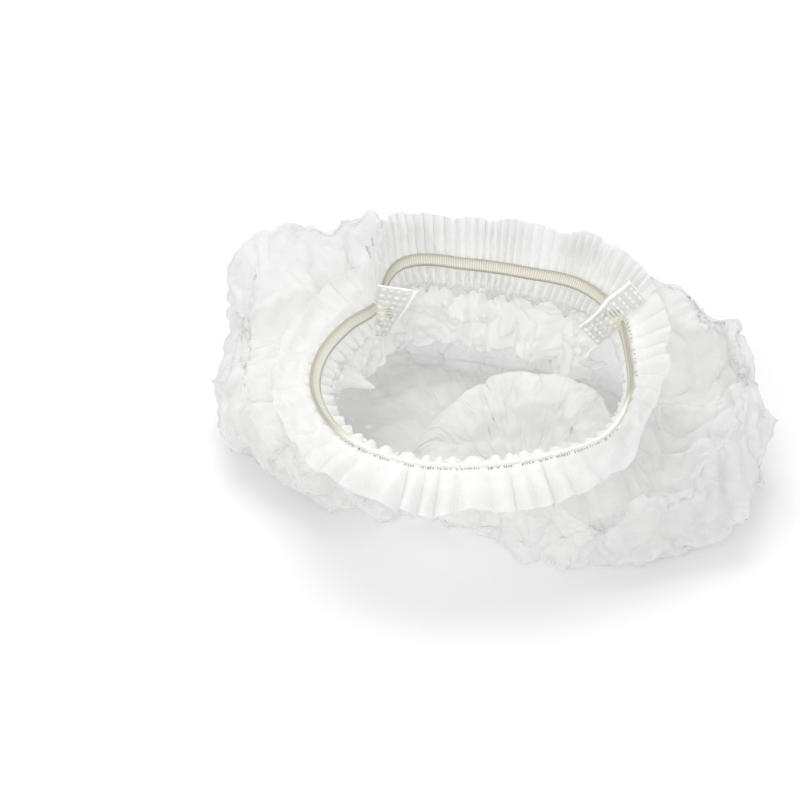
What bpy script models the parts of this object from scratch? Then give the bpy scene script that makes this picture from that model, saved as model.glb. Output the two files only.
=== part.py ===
"""A disposable hair cover cap of pleated non-woven cloth, pulled open and lying upside down.

The opening faces up. X runs to the right, Y to the back and Z up, in metres. The cap is laid out
around the middle of its opening, by angle from +X towards +Y, and then moved so that the middle
of its footprint lies on the origin.
"""
import math
from collections import namedtuple

import bmesh
import bpy
import numpy as np

# Driving dimensions of the opening, at the line where each frill bends away from its elastic
OPENING_WIDTH = 0.140
OPENING_DEPTH = 0.150
OPENING_HEIGHT = 0.066

# The pleated bands on both sides of the elastics
FRILL_LENGTH = 0.019
LIP_LENGTH = 0.012
FRONT_PLEAT_PITCH = 0.0080
BACK_PLEAT_PITCH = 0.0054
FRILL_PLEAT_DEPTH = 0.0032
LIP_PLEAT_DEPTH = 0.0018
STITCHED_PLEAT_DEPTH = 0.0008
LIP_TURN = 0.0016

# How uneven the pleats are, as shares of their depth, and how far their crests then reach
PLEAT_UNEVENNESS = 0.22
PLEAT_DRIFT = 0.16
FRILL_SLACK = 0.25
PLEAT_CREST = 1 + PLEAT_UNEVENNESS + PLEAT_DRIFT
HALF_FRILL_DEPTH = 0.72

# The bag
BAG_BILLOW = 0.055
GATHER_DEPTH = 0.0020
GATHER_PITCH = 0.019
FOOT_RADIUS = 0.014
LEAF_RADIUS = 0.042
LEAF_HEIGHT = 0.030

# Cloth, elastic and end seals
CLOTH_THICKNESS = 0.0010
ELASTIC_WIDTH = 0.0060
ELASTIC_THICKNESS = 0.0008
SEAL_WIDTH = 0.030
SEAL_LENGTH = 0.013
SEAL_THICKNESS = 0.0018
SEAL_RIM = 0.0012
SEAL_RIM_SWELL = 0.0004
PRESSED_LENGTH = 0.0025
RELEASED_LENGTH = 0.0125
CLEARANCE = 0.00035

# Where the two end seals join the bands, by angle around the opening
RIGHT_SEAL_ANGLE = 18.0
LEFT_SEAL_ANGLE = 134.0

SAMPLES_PER_PLEAT = 4
BAG_COLUMNS = 90
SMOOTH_BELOW = 40

# Where the gathers swell and fade along the wall, from the lip (0) to the foot (1)
GATHER_SWELL = 0.25
GATHER_FADE_FROM = 0.45
GATHER_FADE_OVER = 0.50
DENT_FADE_OVER = 0.20

# The tuck under the belly, as shares of the way from the foot up to the belly and out to it
TUCK_UP = 0.42
TUCK_OUT = 0.70

# The opening by angle: reach as a share of its ellipse, height as a share of OPENING_HEIGHT, and
# the lean of the frill, of the elastic and of the lip in degrees from upright towards the outside
Rim = namedtuple("Rim", "angle reach height frill_lean elastic_lean lip_lean")
OPENING = [
    Rim(0.0, 0.99, 1.03, 70, 5, 5),
    Rim(22.5, 1.02, 1.06, 48, 15, 10),
    Rim(45.0, 1.03, 1.05, 28, 25, 10),
    Rim(67.5, 0.95, 1.04, 20, 28, 10),
    Rim(90.0, 0.98, 1.03, 20, 28, 10),
    Rim(112.5, 1.08, 1.03, 20, 25, 10),
    Rim(135.0, 0.83, 1.00, 14, 12, 12),
    Rim(157.5, 0.87, 1.00, 45, 35, 20),
    Rim(180.0, 0.97, 0.985, 65, 45, 30),
    Rim(202.5, 1.065, 0.98, 85, 50, 50),
    Rim(225.0, 1.11, 0.95, 100, 54, 70),
    Rim(247.5, 1.06, 0.92, 115, 54, 80),
    Rim(270.0, 1.00, 0.91, 120, 54, 80),
    Rim(292.5, 1.015, 0.92, 116, 54, 75),
    Rim(315.0, 1.085, 0.94, 102, 40, 60),
    Rim(337.5, 1.04, 0.98, 84, 15, 30),
]

# The bag by angle: how far its valley, crest, belly and foot reach beyond the opening, as shares
# of BAG_BILLOW, and their heights as shares of OPENING_HEIGHT
Billow = namedtuple("Billow", "angle valley valley_up crest crest_up belly belly_up foot")
BAG = [
    Billow(0.0, 0.34, 0.66, 0.86, 0.92, 1.14, 0.62, 0.76),
    Billow(22.5, 0.30, 0.72, 0.72, 1.01, 0.93, 0.74, 0.50),
    Billow(45.0, 0.26, 0.74, 0.52, 1.00, 0.68, 0.66, 0.30),
    Billow(67.5, 0.21, 0.72, 0.36, 0.76, 0.50, 0.50, 0.25),
    Billow(90.0, 0.20, 0.72, 0.40, 0.84, 0.56, 0.56, 0.25),
    Billow(112.5, 0.26, 0.78, 0.64, 1.10, 0.88, 0.80, 0.38),
    Billow(135.0, 0.50, 0.76, 1.26, 1.06, 1.60, 0.74, 0.84),
    Billow(157.5, 0.36, 0.70, 0.94, 0.88, 1.22, 0.54, 0.78),
    Billow(180.0, 0.22, 0.66, 0.58, 0.68, 0.76, 0.38, 0.34),
    Billow(202.5, 0.08, 0.60, 0.16, 0.50, 0.08, 0.30, -0.40),
    Billow(225.0, -0.08, 0.58, -0.14, 0.42, -0.32, 0.23, -0.72),
    Billow(247.5, -0.16, 0.56, -0.30, 0.40, -0.50, 0.20, -0.78),
    Billow(270.0, -0.08, 0.56, -0.16, 0.42, -0.30, 0.21, -0.58),
    Billow(292.5, 0.12, 0.54, 0.20, 0.44, 0.20, 0.21, -0.06),
    Billow(315.0, 0.24, 0.56, 0.46, 0.60, 0.62, 0.28, 0.40),
    Billow(337.5, 0.33, 0.62, 0.75, 0.76, 1.10, 0.44, 0.76),
]

# Large dents (negative) and lobes of the bag's wall: angle, width in degrees, place along the
# wall from the lip (0) to the foot (1), its spread there, and depth as a share of BAG_BILLOW
Dent = namedtuple("Dent", "angle width along spread depth")
DENTS = [
    Dent(172, 9, 0.50, 0.22, -0.16),
    Dent(150, 8, 0.62, 0.25, -0.12),
    Dent(126, 7, 0.62, 0.30, -0.10),
    Dent(194, 7, 0.55, 0.25, 0.09),
    Dent(2, 7, 0.55, 0.22, -0.15),
    Dent(345, 8, 0.66, 0.25, -0.12),
    Dent(322, 7, 0.60, 0.28, -0.10),
    Dent(300, 8, 0.55, 0.30, 0.07),
    Dent(262, 8, 0.60, 0.30, -0.07),
    Dent(75, 9, 0.60, 0.30, -0.10),
    Dent(100, 8, 0.60, 0.30, 0.07),
    Dent(35, 8, 0.62, 0.28, -0.08),
]

# The bottom cloth, from the foot's edge (0) to the leaf's crest (1) and on to the flat middle (2),
# and how high the leaf-shaped fold lifts it there, as a share of LEAF_HEIGHT
FloorRow = namedtuple("FloorRow", "inward rise")
FLOOR = [
    FloorRow(0.40, 0.00),
    FloorRow(0.78, 0.30),
    FloorRow(1.00, 1.00),
    FloorRow(1.35, 0.72),
    FloorRow(1.70, 0.30),
    FloorRow(2.00, 0.00),
]

# The leaf-shaped fold by angle around its own middle: its height as a share of LEAF_HEIGHT
LeafCrest = namedtuple("LeafCrest", "angle rise")
LEAF = [
    LeafCrest(0, 0.50),
    LeafCrest(40, 1.00),
    LeafCrest(80, 1.00),
    LeafCrest(120, 0.85),
    LeafCrest(160, 0.50),
    LeafCrest(200, 0.00),
    LeafCrest(270, 0.00),
    LeafCrest(320, 0.05),
]
LEAF_MIDDLE = (0.34, -0.10)

# The end seals: angle around the opening, lean of the welded end from upright towards the
# outside, turn of its length away from straight inward, slant of its free edge as a share of
# SEAL_LENGTH, and how far its middle lies towards the frill, as a share of SEAL_WIDTH
Seal = namedtuple("Seal", "name angle lean turn slant shift")
SEALS = [
    Seal("end_seal_right", RIGHT_SEAL_ANGLE, 50, 0, 0.0, -0.02),
    Seal("end_seal_left", LEFT_SEAL_ANGLE, 12, -38, 0.45, -0.12),
]


def periodic(rows, column, angles):
    """A smooth closed curve through one column of a table, read at the given angles."""
    knots = np.array([row.angle for row in rows], float)
    values = np.array([getattr(row, column) for row in rows], float)
    step = np.interp(np.mod(angles, 360), np.append(knots, knots[0] + 360), np.arange(len(rows) + 1))
    before = np.floor(step).astype(int) % len(rows)
    part = step - np.floor(step)
    p0, p1, p2, p3 = (values[(before + k) % len(rows)] for k in (-1, 0, 1, 2))
    return curve_between(p0, p1, p2, p3, part)


def ease(value):
    """A smooth step from 0 to 1."""
    value = np.clip(value, 0, 1)
    return value * value * (3 - 2 * value)


def opening_reach(angles):
    """The distance from the middle of the opening to its rim."""
    turn = np.radians(angles)
    ellipse = 1 / np.hypot(np.cos(turn) / (OPENING_WIDTH / 2), np.sin(turn) / (OPENING_DEPTH / 2))
    return ellipse * periodic(OPENING, "reach", angles)


def band_lines(angles):
    """The band's section at each angle as (reach, height) points, from its frill to its lip."""
    rim = np.stack([opening_reach(angles), OPENING_HEIGHT * periodic(OPENING, "height", angles)], -1)
    frill_way = lean_way(periodic(OPENING, "frill_lean", angles))
    elastic_way = lean_way(periodic(OPENING, "elastic_lean", angles))
    lip_way = lean_way(periodic(OPENING, "lip_lean", angles))
    under_elastic = rim - elastic_way * ELASTIC_WIDTH
    lip = under_elastic - lip_way * (LIP_LENGTH - ELASTIC_WIDTH)
    return {
        "frill": rim + frill_way * FRILL_LENGTH,
        "half_frill": rim + frill_way * FRILL_LENGTH / 2,
        "rim": rim,
        "under_elastic": under_elastic,
        "lip": lip,
        "frill_way": frill_way,
        "elastic_way": elastic_way,
        "lip_way": lip_way,
    }


def lean_way(lean):
    """The way up a leaning wall, as (reach, height) parts."""
    turn = np.radians(lean)
    return np.stack([np.sin(turn), np.cos(turn)], -1)


def inner_side(way):
    """The way from a wall to its inner side, square to the way up it."""
    return np.stack([-way[..., 1], way[..., 0]], -1)


def to_space(angles, section):
    """Section points (reach, height) at their angles as points in space."""
    turn = np.radians(angles)
    reach = section[..., 0]
    return np.stack([reach * np.cos(turn), reach * np.sin(turn), section[..., 1]], -1)


def seal_calm(angles):
    """Falls from 1 to 0 close to an end seal, where the pleats are pressed together."""
    calm = np.ones_like(angles)
    for seal in SEALS:
        away = np.radians(np.abs(np.mod(angles - seal.angle + 180, 360) - 180)) * mean_reach()
        calm = np.minimum(calm, ease((away - PRESSED_LENGTH) / (RELEASED_LENGTH - PRESSED_LENGTH)))
    return calm


def mean_reach():
    """The mean distance from the middle of the opening to its rim."""
    return (OPENING_WIDTH + OPENING_DEPTH) / 4


def pleat_wave(count):
    """Square-shouldered flutes of uneven depth, four samples to a pleat."""
    pleat = np.arange(count) / SAMPLES_PER_PLEAT
    wave = np.sin(2 * np.pi * (pleat + 0.5 / SAMPLES_PER_PLEAT)) * math.sqrt(2)
    return wave * (1 + PLEAT_UNEVENNESS * np.sin(pleat * 2.4) + PLEAT_DRIFT * np.sin(pleat * 5.1))


def band_angles(start, end, pitch):
    """Angles for one band, with four samples to each whole pleat."""
    pleats = round(math.radians(end - start) * mean_reach() / pitch)
    return np.linspace(start, end, pleats * SAMPLES_PER_PLEAT + 1)


def smooth_normals(grid, closed):
    """Unit normals of a grid of points, columns first; columns wrap around if closed."""
    if closed:
        across = np.roll(grid, -1, axis=0) - np.roll(grid, 1, axis=0)
    else:
        across = np.gradient(grid, axis=0)
    along = np.gradient(grid, axis=1)
    normals = np.cross(across, along)
    return normals / np.linalg.norm(normals, axis=-1, keepdims=True)


def walled_mesh(name, grid, normals, thickness, closed, capped):
    """A closed wall of even thickness around a grid of middle points."""
    mesh_builder = bmesh.new()
    columns, rows = grid.shape[:2]
    sides = []
    for sign in (1, -1):
        points = grid + normals * (sign * thickness / 2)
        sides.append([[mesh_builder.verts.new(point) for point in column] for column in points])
    front, back = sides
    steps = columns if closed else columns - 1
    for i in range(steps):
        j = (i + 1) % columns
        for k in range(rows - 1):
            mesh_builder.faces.new((front[i][k], front[j][k], front[j][k + 1], front[i][k + 1]))
            mesh_builder.faces.new((back[i][k + 1], back[j][k + 1], back[j][k], back[i][k]))
        mesh_builder.faces.new((back[i][0], back[j][0], front[j][0], front[i][0]))
        if not capped:
            mesh_builder.faces.new((front[i][-1], front[j][-1], back[j][-1], back[i][-1]))
    if capped:
        mesh_builder.faces.new([column[-1] for column in front])
        mesh_builder.faces.new([column[-1] for column in reversed(back)])
    if not closed:
        for k in range(rows - 1):
            mesh_builder.faces.new((front[0][k], front[0][k + 1], back[0][k + 1], back[0][k]))
            mesh_builder.faces.new((back[-1][k], back[-1][k + 1], front[-1][k + 1], front[-1][k]))
    bmesh.ops.recalc_face_normals(mesh_builder, faces=mesh_builder.faces)
    return finished(name, mesh_builder)


def finished(name, mesh_builder):
    """Put a built mesh into the scene as a smooth object."""
    mesh = bpy.data.meshes.new(name)
    mesh_builder.to_mesh(mesh)
    mesh_builder.free()
    mesh.shade_smooth()
    mesh.set_sharp_from_angle(angle=math.radians(SMOOTH_BELOW))
    part = bpy.data.objects.new(name, mesh)
    bpy.context.collection.objects.link(part)
    return part


def make_band(name, start, end, pitch):
    """One pleated band between the end seals, from its frill's edge to its lip."""
    angles = band_angles(start, end, pitch)
    lines = band_lines(angles)
    calm = seal_calm(angles)
    wave = pleat_wave(len(angles)) * calm
    frill_side = inner_side(lines["frill_way"])
    elastic_side = inner_side(lines["elastic_way"])
    lip_side = inner_side(lines["lip_way"])
    slack = FRILL_SLACK * calm * np.sin(np.radians(angles) * 9 + 1.0)
    rows = [
        lines["frill"] + frill_side * ((wave + slack) * FRILL_PLEAT_DEPTH)[:, None],
        lines["half_frill"] + frill_side * (wave * FRILL_PLEAT_DEPTH * HALF_FRILL_DEPTH)[:, None],
        lines["rim"] + elastic_side * (wave * STITCHED_PLEAT_DEPTH)[:, None],
        lines["under_elastic"] + elastic_side * (wave * STITCHED_PLEAT_DEPTH)[:, None],
        lines["lip"] + lip_side * (wave * LIP_PLEAT_DEPTH)[:, None],
    ]
    grid = np.stack([to_space(angles, row) for row in rows], axis=1)
    normals = smooth_normals(grid, closed=False)
    normals[:, -1] = square_to(normals[:, -1], to_space_way(angles, lines["lip_way"]))
    return walled_mesh(name, grid, normals, CLOTH_THICKNESS, closed=False, capped=False)


def to_space_way(angles, way):
    """A (reach, height) way at its angle as a direction in space."""
    turn = np.radians(angles)
    return np.stack([way[..., 0] * np.cos(turn), way[..., 0] * np.sin(turn), way[..., 1]], -1)


def square_to(normals, way):
    """The normals turned square to a direction."""
    way = way / np.linalg.norm(way, axis=-1, keepdims=True)
    flat = normals - way * np.sum(normals * way, axis=-1, keepdims=True)
    return flat / np.linalg.norm(flat, axis=-1, keepdims=True)


def make_elastic(name, start, end):
    """The flat elastic on a band's inner face, just under the rim, between the end seals."""
    steps = round(math.radians(end - start) * mean_reach() / ELASTIC_WIDTH)
    angles = np.linspace(start, end, steps + 1)
    lines = band_lines(angles)
    side = inner_side(lines["elastic_way"])
    lift = STITCHED_PLEAT_DEPTH * PLEAT_CREST + CLOTH_THICKNESS / 2 + CLEARANCE
    lift = lift + ELASTIC_THICKNESS / 2
    top = lines["rim"] - lines["elastic_way"] * CLEARANCE + side * lift
    low = lines["under_elastic"] + lines["elastic_way"] * CLEARANCE + side * lift
    grid = np.stack([to_space(angles, top), to_space(angles, low)], axis=1)
    side_in_space = to_space_way(angles, side)
    normals = np.stack([side_in_space, side_in_space], axis=1)
    return walled_mesh(name, grid, normals, ELASTIC_THICKNESS, closed=False, capped=False)


def wall_rows(angles):
    """The bag's wall at each angle, from the lip to the foot, as (reach, height) points."""
    lines = band_lines(angles)
    reach = opening_reach(angles)
    lip = lines["lip"] - lines["lip_way"] * CLEARANCE
    turned = lip - lines["lip_way"] * LIP_TURN
    turned[:, 1] -= LIP_TURN

    def spot(beyond, up):
        out = reach + BAG_BILLOW * periodic(BAG, beyond, angles)
        return np.stack([out, OPENING_HEIGHT * periodic(BAG, up, angles)], -1)

    valley = spot("valley", "valley_up")
    crest = spot("crest", "crest_up")
    belly = spot("belly", "belly_up")
    foot_reach = reach + BAG_BILLOW * periodic(BAG, "foot", angles)
    foot = np.stack([foot_reach, np.full_like(reach, CLOTH_THICKNESS / 2)], -1)
    tuck = np.stack([
        foot[:, 0] + (belly[:, 0] - foot[:, 0]) * TUCK_OUT,
        foot[:, 1] + (belly[:, 1] - foot[:, 1]) * TUCK_UP,
    ], -1)
    return [lip, turned, valley, crest, belly, tuck, foot]


def curve_between(p0, p1, p2, p3, part):
    """A point on a smooth curve through four points, between the middle two."""
    return 0.5 * (
        2 * p1
        + (p2 - p0) * part
        + (2 * p0 - 5 * p1 + 4 * p2 - p3) * part**2
        + (3 * p1 - p0 - 3 * p2 + p3) * part**3
    )


def make_crown():
    """The bag: its wall with gathers, lobes and dents, and its bottom with the leaf-shaped fold."""
    angles = np.arange(BAG_COLUMNS) * 360 / BAG_COLUMNS
    knots = wall_rows(angles)
    rows = [knots[0], knots[1]]
    for k in range(1, len(knots) - 1):
        before, here, there = knots[k - 1], knots[k], knots[k + 1]
        beyond = knots[min(k + 2, len(knots) - 1)]
        if k < len(knots) - 2:
            rows.append(curve_between(before, here, there, beyond, 0.5))
        rows.append(there)
    wall = np.stack([to_space(angles, row) for row in rows], axis=1)
    normals = smooth_normals(wall, closed=True)
    wall = wall + normals * folds(angles, len(rows))[..., None]
    wall[:, -1, 2] = CLOTH_THICKNESS / 2
    wall[..., 2] = np.maximum(wall[..., 2], CLOTH_THICKNESS / 2)
    grid = np.concatenate([wall, bottom_rows(angles, wall[:, -1])], axis=1)
    normals = smooth_normals(grid, closed=True)
    lip_way = to_space_way(angles, band_lines(angles)["lip_way"])
    normals[:, 0] = square_to(normals[:, 0], lip_way)
    normals[:, -1] = (0, 0, np.sign(normals[0, -1, 2]))
    return walled_mesh("crown", grid, normals, CLOTH_THICKNESS, closed=True, capped=True)


def folds(angles, count):
    """How far gathers and dents push each point of the wall outward."""
    along = np.linspace(0, 1, count)[None, :]
    around = angles[:, None]
    gathers = round(2 * math.pi * mean_reach() / GATHER_PITCH)
    swell = ease(along / GATHER_SWELL) * (1 - ease((along - GATHER_FADE_FROM) / GATHER_FADE_OVER))
    wave = np.sin(np.radians(around) * gathers) + 0.35 * np.sin(np.radians(around) * 9 + 0.7)
    push = GATHER_DEPTH * wave * swell
    for dent in DENTS:
        away = np.abs(np.mod(around - dent.angle + 180, 360) - 180) / dent.width
        up = (along - dent.along) / dent.spread
        hold = ease((1 - along) / DENT_FADE_OVER)
        push = push - dent.depth * BAG_BILLOW * np.exp(-(away**2) - up**2) * hold
    return push


def bottom_rows(angles, foot):
    """The bottom cloth from the foot's edge inward, lifted into the leaf-shaped fold."""
    middle = leaf_middle()
    away = foot[:, :2] - middle
    turn = np.arctan2(away[:, 1], away[:, 0])
    ring = np.stack([np.cos(turn), np.sin(turn)], -1)
    leaf = middle + ring * LEAF_RADIUS
    flat = middle + ring * FOOT_RADIUS
    height = LEAF_HEIGHT * np.maximum(0, periodic(LEAF, "rise", np.degrees(turn)))
    rows = []
    for row in FLOOR:
        if row.inward <= 1:
            place = foot[:, :2] * (1 - row.inward) + leaf * row.inward
        else:
            place = leaf * (2 - row.inward) + flat * (row.inward - 1)
        up = CLOTH_THICKNESS / 2 + height * row.rise
        rows.append(np.concatenate([place, up[:, None]], axis=1))
    return np.stack(rows, axis=1)


def leaf_middle():
    """The middle of the leaf-shaped fold and of the flat foot inside it."""
    return np.array([LEAF_MIDDLE[0] * OPENING_WIDTH / 2, LEAF_MIDDLE[1] * OPENING_DEPTH / 2])


def make_seal(seal):
    """A welded end: a flat plate across the band's end, with a swollen rim on its free edge."""
    angle = np.array([seal.angle])
    lines = band_lines(angle)
    radial = to_space_way(angle, np.array([[1.0, 0.0]]))[0]
    upright = np.array([0.0, 0.0, 1.0])
    lean = math.radians(seal.lean)
    width_way = radial * math.sin(lean) + upright * math.cos(lean)
    inward = -radial * math.cos(lean) + upright * math.sin(lean)
    face = np.cross(inward, width_way)
    turn = math.radians(seal.turn)
    length_way = inward * math.cos(turn) + face * math.sin(turn)
    face_way = np.cross(length_way, width_way)
    rim = to_space(angle, lines["rim"])[0]
    stand_off = CLOTH_THICKNESS / 2 + CLEARANCE
    root = rim + inward * (stand_off + SEAL_THICKNESS / 2 * abs(math.sin(turn)))
    root = root + width_way * SEAL_WIDTH * seal.shift
    mesh_builder = bmesh.new()
    rim_share = SEAL_RIM / SEAL_LENGTH
    swollen = 0.5 + SEAL_RIM_SWELL / SEAL_THICKNESS
    profile = [(0.0, 0.5), (1 - 2 * rim_share, 0.5), (1 - rim_share, swollen), (1.0, 0.5)]
    levels = [-0.5, -0.25, 0.0, 0.25, 0.5]
    loops = []
    for across in levels:
        column = []
        longer = 1 + seal.slant * 2 * across
        for sign in (1, -1):
            for stop, half in profile if sign > 0 else reversed(profile):
                place = root + length_way * SEAL_LENGTH * stop * longer
                place = place + width_way * SEAL_WIDTH * across
                place = place + face_way * (sign * half * SEAL_THICKNESS)
                column.append(mesh_builder.verts.new(place))
        loops.append(column)
    for one, other in zip(loops, loops[1:]):
        for k in range(len(one)):
            n = (k + 1) % len(one)
            mesh_builder.faces.new((one[k], one[n], other[n], other[k]))
    mesh_builder.faces.new(loops[0])
    mesh_builder.faces.new(list(reversed(loops[-1])))
    bmesh.ops.recalc_face_normals(mesh_builder, faces=mesh_builder.faces)
    return finished(seal.name, mesh_builder)


def plastic(name, colour, roughness):
    """A plain material in the part's own colour."""
    material = bpy.data.materials.new(name)
    material.use_nodes = True
    shader = material.node_tree.nodes["Principled BSDF"]
    shader.inputs["Base Color"].default_value = (*colour, 1)
    shader.inputs["Roughness"].default_value = roughness
    shader.inputs["Metallic"].default_value = 0
    return material


def centre_on_origin(parts):
    """Move the finished cap so that its footprint's middle is at the origin."""
    corners = np.array([vertex.co for part in parts for vertex in part.data.vertices])
    low, high = corners.min(axis=0), corners.max(axis=0)
    middle = (low + high) / 2
    base = bpy.data.objects.new("cap", None)
    bpy.context.collection.objects.link(base)
    base.location = (-middle[0], -middle[1], -low[2])
    for part in parts:
        part.parent = base


def main():
    for old in list(bpy.data.objects):
        bpy.data.objects.remove(old)
    seam = math.degrees(CLEARANCE / mean_reach())
    tape_end = math.degrees(3 * SEAL_THICKNESS / mean_reach())
    front = (LEFT_SEAL_ANGLE, RIGHT_SEAL_ANGLE + 360)
    back = (RIGHT_SEAL_ANGLE, LEFT_SEAL_ANGLE)
    cloth = plastic("nonwoven_cloth", (0.86, 0.86, 0.84), 0.85)
    tape = plastic("elastic_tape", (0.66, 0.64, 0.56), 0.7)
    weld = plastic("welded_cloth", (0.9, 0.9, 0.86), 0.5)
    parts = []
    for name, (start, end), pitch in (
        ("ruffle_front", front, FRONT_PLEAT_PITCH),
        ("ruffle_back", back, BACK_PLEAT_PITCH),
    ):
        parts.append(make_band(name, start + seam, end - seam, pitch))
        parts[-1].data.materials.append(cloth)
    for name, (start, end) in (("elastic_front", front), ("elastic_back", back)):
        parts.append(make_elastic(name, start + tape_end, end - tape_end))
        parts[-1].data.materials.append(tape)
    for seal in SEALS:
        parts.append(make_seal(seal))
        parts[-1].data.materials.append(weld)
    parts.append(make_crown())
    parts[-1].data.materials.append(cloth)
    centre_on_origin(parts)


main()
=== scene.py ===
"""The look of a disposable hair cover cap of pleated non-woven cloth, lying upside down.

Each cloth piece is a single fine sheet. All but the two inner folds stand for the thicker solid
of the same place. The cap is laid out by angle around the middle of its opening, in metres, with
Z up.
"""

import math
from collections import namedtuple

import bmesh
import bpy
import numpy as np
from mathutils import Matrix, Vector


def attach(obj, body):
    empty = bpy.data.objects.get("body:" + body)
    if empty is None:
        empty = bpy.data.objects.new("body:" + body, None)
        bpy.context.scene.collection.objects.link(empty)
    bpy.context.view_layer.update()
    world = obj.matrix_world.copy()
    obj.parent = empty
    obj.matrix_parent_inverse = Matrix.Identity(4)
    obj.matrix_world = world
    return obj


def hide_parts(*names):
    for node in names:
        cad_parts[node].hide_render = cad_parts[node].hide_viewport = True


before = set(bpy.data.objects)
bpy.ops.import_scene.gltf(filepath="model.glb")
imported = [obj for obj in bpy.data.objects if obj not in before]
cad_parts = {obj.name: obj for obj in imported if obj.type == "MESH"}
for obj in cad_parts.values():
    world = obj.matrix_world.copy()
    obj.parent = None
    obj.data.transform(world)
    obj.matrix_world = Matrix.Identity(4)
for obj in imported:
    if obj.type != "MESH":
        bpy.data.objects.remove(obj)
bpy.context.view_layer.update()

# The opening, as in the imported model
OPENING_WIDTH = 0.140
OPENING_DEPTH = 0.150
OPENING_HEIGHT = 0.066
FRILL_LENGTH = 0.019
LIP_LENGTH = 0.012
ELASTIC_WIDTH = 0.0060
BAG_BILLOW = 0.055
RIGHT_SEAL_ANGLE = 18.0
LEFT_SEAL_ANGLE = 136.0
SEAL_WIDTH = 0.030
SEAL_THICKNESS = 0.0018

# The middle of the opening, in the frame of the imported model
MIDDLE = Vector((-0.0063, -0.0131, 0.0))

Rim = namedtuple("Rim", "angle reach height frill_lean elastic_lean lip_lean")
OPENING = [
    Rim(0.0, 0.99, 1.03, 70, 5, 5),
    Rim(22.5, 1.02, 1.06, 48, 15, 10),
    Rim(45.0, 1.03, 1.05, 28, 25, 10),
    Rim(67.5, 0.95, 1.04, 20, 28, 10),
    Rim(90.0, 0.98, 1.03, 20, 28, 10),
    Rim(112.5, 1.08, 1.03, 20, 25, 10),
    Rim(135.0, 0.83, 1.00, 14, 12, 12),
    Rim(157.5, 0.87, 1.00, 45, 35, 20),
    Rim(180.0, 0.97, 0.985, 65, 45, 30),
    Rim(202.5, 1.065, 0.98, 85, 50, 50),
    Rim(225.0, 1.11, 0.95, 100, 54, 70),
    Rim(247.5, 1.06, 0.92, 115, 54, 80),
    Rim(270.0, 1.00, 0.91, 120, 54, 80),
    Rim(292.5, 1.015, 0.92, 116, 54, 75),
    Rim(315.0, 1.085, 0.94, 102, 40, 60),
    Rim(337.5, 1.04, 0.98, 84, 15, 30),
]

Billow = namedtuple("Billow", "angle valley valley_up crest crest_up belly belly_up foot")
BAG = [
    Billow(0.0, 0.34, 0.60, 0.92, 0.94, 1.20, 0.62, 0.80),
    Billow(22.5, 0.30, 0.66, 0.76, 1.01, 0.98, 0.74, 0.52),
    Billow(45.0, 0.26, 0.74, 0.52, 1.00, 0.68, 0.66, 0.30),
    Billow(67.5, 0.21, 0.72, 0.36, 0.76, 0.50, 0.50, 0.25),
    Billow(90.0, 0.20, 0.72, 0.40, 0.84, 0.56, 0.56, 0.25),
    Billow(112.5, 0.26, 0.78, 0.64, 1.10, 0.88, 0.80, 0.38),
    Billow(135.0, 0.50, 0.76, 1.26, 1.06, 1.60, 0.74, 0.84),
    Billow(157.5, 0.36, 0.70, 0.94, 0.88, 1.22, 0.54, 0.78),
    Billow(180.0, 0.22, 0.66, 0.58, 0.68, 0.76, 0.38, 0.34),
    Billow(202.5, 0.08, 0.60, 0.16, 0.50, 0.08, 0.30, -0.40),
    Billow(225.0, -0.08, 0.58, -0.14, 0.42, -0.32, 0.23, -0.72),
    Billow(247.5, -0.16, 0.56, -0.30, 0.40, -0.50, 0.20, -0.78),
    Billow(270.0, -0.08, 0.56, -0.16, 0.42, -0.30, 0.21, -0.58),
    Billow(292.5, 0.10, 0.54, 0.12, 0.44, 0.06, 0.24, -0.26),
    Billow(315.0, 0.24, 0.56, 0.42, 0.60, 0.50, 0.30, 0.20),
    Billow(337.5, 0.33, 0.62, 0.75, 0.76, 1.10, 0.44, 0.76),
]

# The bottom cloth: from the foot's edge (0) to the leaf's crest (1) and the flat middle (2), and
# how high the leaf-shaped fold lifts it there
FloorRow = namedtuple("FloorRow", "inward rise")
FLOOR = [
    FloorRow(0.00, 0.00),
    FloorRow(0.60, 0.02),
    FloorRow(0.84, 0.24),
    FloorRow(0.96, 0.86),
    FloorRow(1.00, 1.00),
    FloorRow(1.06, 0.97),
    FloorRow(1.35, 0.74),
    FloorRow(1.70, 0.30),
    FloorRow(2.00, 0.00),
]
LeafCrest = namedtuple("LeafCrest", "angle rise")
LEAF = [
    LeafCrest(0, 0.50),
    LeafCrest(40, 1.00),
    LeafCrest(80, 1.00),
    LeafCrest(120, 0.85),
    LeafCrest(160, 0.50),
    LeafCrest(200, 0.00),
    LeafCrest(270, 0.00),
    LeafCrest(320, 0.05),
]
LEAF_MIDDLE = (0.34, -0.10)
LEAF_RADIUS = 0.042
LEAF_HEIGHT = 0.030

Dent = namedtuple("Dent", "angle width along spread depth")
DENTS = [
    Dent(172, 9, 0.50, 0.22, -0.16),
    Dent(150, 8, 0.62, 0.25, -0.12),
    Dent(126, 7, 0.62, 0.30, -0.10),
    Dent(194, 7, 0.55, 0.25, 0.09),
    Dent(9, 9, 0.36, 0.09, -0.34),
    Dent(158, 9, 0.44, 0.08, -0.20),
    Dent(2, 7, 0.60, 0.14, -0.10),
    Dent(345, 8, 0.66, 0.25, -0.12),
    Dent(322, 7, 0.60, 0.28, -0.10),
    Dent(300, 8, 0.55, 0.30, 0.07),
    Dent(262, 8, 0.60, 0.30, -0.07),
    Dent(75, 9, 0.60, 0.30, -0.10),
    Dent(100, 8, 0.60, 0.30, 0.07),
    Dent(35, 8, 0.62, 0.28, -0.08),
]

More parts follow.
